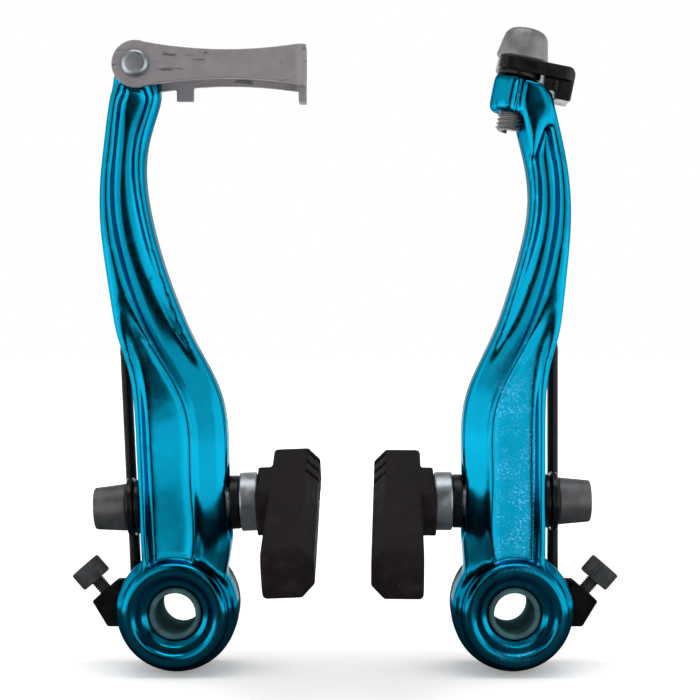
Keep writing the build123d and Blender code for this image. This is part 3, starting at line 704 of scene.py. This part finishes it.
class BRAKE_OT_tension_screws(bpy.types.Operator):
    """Make the knurled tension screws with their threads"""

    bl_idname = "brake.tension_screws"
    bl_label = "Tension screws"

    depth = 4.6 * MM
    standout = 2.6 * MM
    head_radius = 3.35 * MM
    head_length = 4.0 * MM
    edge_round = 0.45 * MM
    thread_radius = 1.45 * MM
    socket = 2.5 * MM
    socket_depth = 1.6 * MM
    groove = 0.955
    entry = Vector((48.7 * MM, -3.3 * MM, 2.7 * MM))
    angle = radians(49.0)

    def knurl(self, head, count):
        """Press every second column of the head's side inwards."""
        only(head)
        bpy.ops.object.mode_set(mode="EDIT")
        bpy.ops.mesh.select_all(action="DESELECT")
        bpy.ops.object.mode_set(mode="OBJECT")
        step = 2 * pi / (2 * count)
        for vertex in head.data.vertices:
            radius = vertex.co.xy.length
            column = round(vertex.co.xy.angle_signed(Vector((1, 0))) / step) if radius > 0 else 0
            vertex.select = radius > self.head_radius - 0.05 * MM and column % 2 == 0
        bpy.ops.object.mode_set(mode="EDIT")
        bpy.ops.transform.resize(value=(self.groove, self.groove, 1), center_override=(0, 0, 0))
        bpy.ops.object.mode_set(mode="OBJECT")

    def execute(self, context):
        shape = context.scene.brake_shape
        base = self.standout
        top = base + self.head_length
        inset = self.edge_round
        outline = [(0, base)]
        outline += rounded_corner((self.head_radius - inset, base + inset), inset, -90, 0)
        outline += rounded_corner((self.head_radius - inset, top - inset), inset, 0, 90)
        outline += [(0, top)]
        for side, sign in SIDES.items():
            head = turned(f"{side}_screw_head", outline, 2 * shape.knurl_count)
            self.knurl(head, shape.knurl_count)
            cut_socket(head, self.socket, top - self.socket_depth, top + inset)
            rod = threaded_rod(
                f"{side}_screw_rod", self.thread_radius, shape.screw_pitch, -self.depth, base + inset)
            screw = joined([head, rod], f"{side}_screw_knurled")
            origin = Vector((sign * self.entry.x, self.entry.y, self.entry.z))
            set_along(screw, origin, (sign * cos(self.angle), 0, sin(self.angle)))
            finish_piece(screw, f"{side}_screw_body", "screw_steel", f"{side}_tension_screw")
        return {"FINISHED"}


class BRAKE_OT_springs(bpy.types.Operator):
    """Finish the springs, their holders and the pivot bushes"""

    bl_idname = "brake.springs"
    bl_label = "Springs, holders and bushes"

    swing = (-21.0, 9.0)
    sweep_steps = 15
    foot = (-3.2 * MM, -0.6 * MM, -8.9 * MM)
    foot_room = 1.75 * MM
    foot_length = 3.2 * MM
    leg = (8.9 * MM, -5.1 * MM, 7.0 * MM)
    leg_room = 1.5 * MM
    leg_length = 22.0 * MM

    def swept(self, sign, place, along, radius, length, grid):
        """A cutter that leaves room for a straight wire while its arm swings."""
        start, end = self.swing
        cutters = []
        for step in range(self.sweep_steps + 1):
            angle = radians(start + (end - start) * step / self.sweep_steps)
            bpy.ops.object.select_all(action="DESELECT")
            bpy.ops.mesh.primitive_cylinder_add(vertices=32, radius=radius, depth=length)
            wire = bpy.context.active_object
            wire.matrix_world = (
                Matrix.Translation((sign * PIVOT, 0, 0)) @ Matrix.Rotation(-sign * angle, 4, "Y")
                @ Matrix.Translation((sign * place[0], place[1], place[2]))
                @ turned_to(along))
            cutters.append(wire)
        cutter = joined(cutters, "room")
        modify(cutter, "REMESH", mode="VOXEL", voxel_size=grid)
        return cutter

    def execute(self, context):
        shape = context.scene.brake_shape
        for side, sign in SIDES.items():
            holder = node_copy(f"{side}_spring_holder", f"{side}_holder_moulded")
            rooms = (
                self.swept(sign, self.foot, (0, 1, 0), self.foot_room, self.foot_length, shape.sheet_voxel),
                self.swept(sign, self.leg, (0, 0, 1), self.leg_room, self.leg_length, shape.sheet_voxel),
            )
            for cutter in rooms:
                modify(holder, "BOOLEAN", operation="DIFFERENCE", object=cutter, solver="EXACT")
                bpy.data.objects.remove(cutter)
            soften(holder, shape.pad_voxel, shape.sheet_softening)
            finish_piece(holder, "frame_side", "holder_nylon", f"{side}_spring_holder")
            paint_node(f"{side}_spring", "spring_coating")
            paint_node(f"{side}_pivot_bush", "turned_bush")
        return {"FINISHED"}


class BRAKE_OT_cable_link(bpy.types.Operator):
    """Rebuild the stamped link and finish its pin"""

    bl_idname = "brake.cable_link"
    bl_label = "Cable link"

    def execute(self, context):
        shape = context.scene.brake_shape
        link = softened("cable_link", "cable_link_stamped", shape.sheet_voxel, shape.sheet_softening)
        finish_piece(link, "link_body", "tumbled_strap", "cable_link")
        paint_node("link_pin", "zinc_plating")
        return {"FINISHED"}


class BRAKE_OT_cable_anchor(bpy.types.Operator):
    """Make the threaded anchor bolt, rebuild its clamp washer and finish its thin washer"""

    bl_idname = "brake.cable_anchor"
    bl_label = "Cable anchor"

    seat = Vector((34.15 * MM, -14.6 * MM, 105.0 * MM))
    tilt = radians(11.5)
    stack = 3.3 * MM
    head_radius = 5.1 * MM
    crown_radius = 4.3 * MM
    head_height = 6.3 * MM
    base_round = 0.6 * MM
    crown_round = 2.4 * MM
    crown_swell = 0.1 * MM
    reach = 11.0 * MM
    thread_radius = 2.5 * MM
    socket = 5.0 * MM
    socket_depth = 3.0 * MM
    rib_start = 4.9 * MM
    rib_end = 8.4 * MM
    rib_depth = 1.7 * MM
    rib_half_width = 3.6 * MM
    plate_middle = 2.0 * MM

    def clamp_rib(self):
        """The thick part of the clamp washer, under its plate and inside its hook."""
        bpy.ops.object.select_all(action="DESELECT")
        bpy.ops.mesh.primitive_cube_add(size=1)
        rib = bpy.context.active_object
        low = Vector((self.rib_start, -self.rib_half_width, -self.rib_depth))
        high = Vector((self.rib_end, self.rib_half_width, self.plate_middle))
        rib.matrix_world = (
            Matrix.Translation(self.seat) @ Matrix.Rotation(self.tilt, 4, "Y")
            @ Matrix.Translation((low + high) / 2) @ Matrix.Diagonal((*(high - low), 1)))
        only(rib)
        bpy.ops.object.transform_apply(location=True, rotation=True, scale=True)
        return rib

    def execute(self, context):
        shape = context.scene.brake_shape
        top = self.stack + self.head_height
        outline = [(0, self.stack)]
        outline += rounded_corner(
            (self.head_radius - self.base_round, self.stack + self.base_round), self.base_round, -90, 5)
        crown = (self.crown_radius - self.crown_round + self.crown_swell, top - self.crown_round)
        outline += rounded_corner(crown, self.crown_round, 8, 90, 10)
        outline += [(0, top)]
        head = turned("anchor_head", outline, 72)
        cut_socket(head, self.socket, top - self.socket_depth, top + self.base_round)
        rod = threaded_rod(
            "anchor_rod", self.thread_radius, shape.bolt_pitch, -self.reach, self.stack + self.base_round)
        bolt = joined([head, rod], "anchor_bolt_threaded")
        set_along(bolt, self.seat, (sin(self.tilt), 0, cos(self.tilt)))
        finish_piece(bolt, "right_arm_body", "dull_bolt", "anchor_bolt")
        clamp = node_copy("clamp_washer", "clamp_washer_stamped")
        clamp = joined([clamp, self.clamp_rib()], clamp.name)
        soften(clamp, shape.sheet_voxel, 3 * shape.sheet_softening)
        finish_piece(clamp, "right_arm_body", "blacked_steel", "clamp_washer")
        paint_node("thin_washer", "blacked_steel")
        return {"FINISHED"}


class BRAKE_OT_stage(bpy.types.Operator):
    """Set the floor, the cards, the lamps, the world and the camera"""

    bl_idname = "brake.stage"
    bl_label = "Stage"

    floor_gap = 0.2 * MM
    floor_size = 40.0
    low = cad_box[0].z
    target = (0, -0.01, 0.05)
    side_place = (0.6, -0.3, 0.1)
    side_size = (0.5, 0.35)
    top_place = (0, -0.1, 0.75)
    top_size = (0.6, 0.4)

    # Name, size, place, facing and grey of each card.
    cards = (
        ("card_behind_camera", (0.36, 0.9), (0, -0.75, 0.3), (0, 1, 0), 0.004),
        ("near_card_on_floor", (0.34, 0.2), (0, 0.0, low), (0, 0, 1), 0.1),
        ("card_on_floor", (0.165, 0.75), (-0.0175, -0.355, low - floor_gap / 3), (0, 0, 1), 0.004),
        ("far_card_on_floor", (0.24, 0.3), (-0.07, -0.355, low - floor_gap / 2), (0, 0, 1), 0.004),
        ("ceiling_card", (3.0, 3.0), (0, 0, 0.9), (0, 0, -1), 0.4),
    )

    def seen(self, tree):
        """1 for rays that see the background: from the camera, in gloss and through glass."""
        path = put(tree, "ShaderNodeLightPath").outputs
        seen = math(tree, "MAXIMUM", path["Is Camera Ray"], path["Is Glossy Ray"])
        return math(tree, "MAXIMUM", seen, path["Is Transmission Ray"])

    def floor(self, stage):
        """A pale floor under the bosses that keeps the shadow."""
        bpy.ops.object.select_all(action="DESELECT")
        bpy.ops.mesh.primitive_plane_add(size=self.floor_size, location=(0, 0, self.low - self.floor_gap))
        floor = bpy.context.active_object
        floor.name = "floor"
        material, tree, shader = new_material("floor")
        tree.nodes.remove(shader)
        matt = put(tree, "ShaderNodeBsdfDiffuse", {"Color": (*stage.floor, 1)})
        place = put(tree, "ShaderNodeTexCoord").outputs["Object"]
        away = put(tree, "ShaderNodeVectorMath", {0: place}, operation="LENGTH").outputs["Value"]
        glow = put(tree, "ShaderNodeEmission", {
            "Color": (1, 1, 1, 1),
            "Strength": math(tree, "MULTIPLY", self.seen(tree), spread(tree, away, 0.06, 0.5, 0.25, 0.75))})
        both = put(tree, "ShaderNodeAddShader", {0: matt.outputs[0], 1: glow.outputs[0]})
        tree.links.new(both.outputs[0], tree.nodes["Material Output"].inputs["Surface"])
        floor.data.materials.append(material)

    def card(self, name, size, location, facing, grey):
        """A dark card that only shows in reflections."""
        bpy.ops.object.select_all(action="DESELECT")
        bpy.ops.mesh.primitive_plane_add(size=1, location=location)
        card = bpy.context.active_object
        card.name = name
        card.scale = (*size, 1)
        card.rotation_mode = "QUATERNION"
        card.rotation_quaternion = Vector(facing).to_track_quat("Z", "Y")
        card.visible_camera = False
        card.visible_diffuse = False
        card.visible_shadow = False
        material, tree, shader = new_material(name)
        shader.inputs["Base Color"].default_value = (grey, grey, grey, 1)
        shader.inputs["Roughness"].default_value = 0.9
        shader.inputs["Specular IOR Level"].default_value = 0.0
        card.data.materials.append(material)

    def lamp(self, name, location, size, power):
        """A soft rectangular lamp that points at the brake."""
        light = bpy.data.lights.new(name, "AREA")
        light.shape = "RECTANGLE"
        light.size, light.size_y = size
        light.energy = power
        lamp = bpy.data.objects.new(name, light)
        bpy.context.scene.collection.objects.link(lamp)
        lamp.location = location
        lamp.rotation_mode = "QUATERNION"
        lamp.rotation_quaternion = (Vector(location) - Vector(self.target)).to_track_quat("Z", "Y")
        lamp.visible_camera = False

    def world(self, stage):
        """White wherever it is seen, and an even light on matt surfaces."""
        world = bpy.data.worlds.new("studio")
        bpy.context.scene.world = world
        world.use_nodes = True
        tree = world.node_tree
        tree.nodes.clear()
        white = put(tree, "ShaderNodeBackground", {"Color": (1, 1, 1, 1), "Strength": 1.0})
        even = put(tree, "ShaderNodeBackground", {"Color": (1, 1, 1, 1), "Strength": stage.ambient})
        mix = put(tree, "ShaderNodeMixShader", {0: self.seen(tree), 1: even.outputs[0], 2: white.outputs[0]})
        output = put(tree, "ShaderNodeOutputWorld")
        tree.links.new(mix.outputs[0], output.inputs["Surface"])

    def camera(self, stage):
        """The camera at the photograph's place."""
        camera = bpy.data.cameras.new("camera")
        camera.angle = stage.view_angle
        camera.clip_start = 0.01
        holder = bpy.data.objects.new("camera", camera)
        bpy.context.scene.collection.objects.link(holder)
        holder.location = (stage.camera_side, -stage.camera_distance, stage.camera_height)
        holder.rotation_euler = (pi / 2, 0, 0)
        bpy.context.scene.camera = holder

    def execute(self, context):
        stage = context.scene.brake_stage
        context.scene.view_settings.view_transform = "Standard"
        self.floor(stage)
        self.world(stage)
        for card in self.cards:
            self.card(*card)
        for side, sign in SIDES.items():
            place = (sign * self.side_place[0], *self.side_place[1:])
            self.lamp(f"{side}_lamp", place, self.side_size, stage.side_power)
        self.lamp("top_lamp", self.top_place, self.top_size, stage.top_power)
        self.camera(stage)
        return {"FINISHED"}


class BRAKE_PT_sidebar(bpy.types.Panel):
    """Lists the brake's settings and the operators that build it"""

    bl_idname = "BRAKE_PT_sidebar"
    bl_label = "Brake"
    bl_space_type = "VIEW_3D"
    bl_region_type = "UI"
    bl_category = "Brake"

    def draw(self, context):
        for group in (context.scene.brake_finish, context.scene.brake_shape, context.scene.brake_stage):
            box = self.layout.box()
            for key in group.__annotations__:
                box.prop(group, key)
        for operator in OPERATORS:
            self.layout.operator(operator.bl_idname)


SETTINGS = {"brake_finish": BrakeFinish, "brake_shape": BrakeShape, "brake_stage": BrakeStage}
OPERATORS = (
    BRAKE_OT_finishes,
    BRAKE_OT_arms,
    BRAKE_OT_pads,
    BRAKE_OT_post_hardware,
    BRAKE_OT_tension_screws,
    BRAKE_OT_springs,
    BRAKE_OT_cable_link,
    BRAKE_OT_cable_anchor,
    BRAKE_OT_stage,
)


def register():
    for group in SETTINGS.values():
        bpy.utils.register_class(group)
    for name, group in SETTINGS.items():
        setattr(bpy.types.Scene, name, bpy.props.PointerProperty(type=group))
    for entry in (*OPERATORS, BRAKE_PT_sidebar):
        bpy.utils.register_class(entry)


def unregister():
    for entry in (BRAKE_PT_sidebar, *reversed(OPERATORS)):
        bpy.utils.unregister_class(entry)
    for name, group in SETTINGS.items():
        delattr(bpy.types.Scene, name)
        bpy.utils.unregister_class(group)


def main():
    register()
    for operator in OPERATORS:
        area, name = operator.bl_idname.split(".")
        getattr(getattr(bpy.ops, area), name)()


if __name__ == "__main__":
    main()
